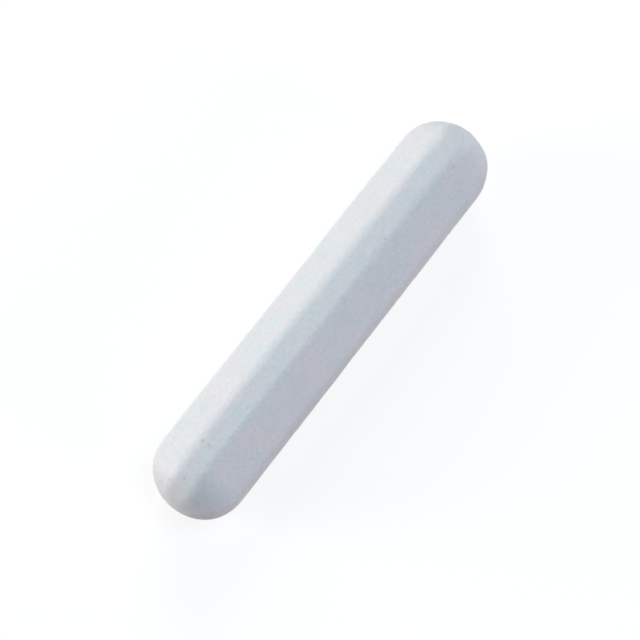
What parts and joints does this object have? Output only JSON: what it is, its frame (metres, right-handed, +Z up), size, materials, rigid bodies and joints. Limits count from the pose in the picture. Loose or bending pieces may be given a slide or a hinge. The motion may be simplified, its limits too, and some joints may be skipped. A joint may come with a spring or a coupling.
{
  "type": "magnetic stir bar",
  "caption": "Octagonal magnetic stir bar with rounded long edges and domed, faceted ends: a rod magnet sealed in a smooth white PTFE jacket, for mixing liquids on a magnetic stirrer.",
  "frame": {"origin": "middle of the facet that the bar lies on, halfway along its length", "axes": "+X along the bar from tip to tip, +Y across it, +Z up from the surface it lies on"},
  "size_m": [0.04, 0.0078, 0.0079],
  "materials": {
    "ptfe": "moulded white PTFE, satin, with a very fine mottled grain",
    "magnet": "cast aluminium-nickel-cobalt magnet alloy, dull grey, with ground ends"
  },
  "bodies": {
    "root": {"ptfe_jacket": "ptfe", "bar_magnet": "magnet"}
  },
  "joints": []
}
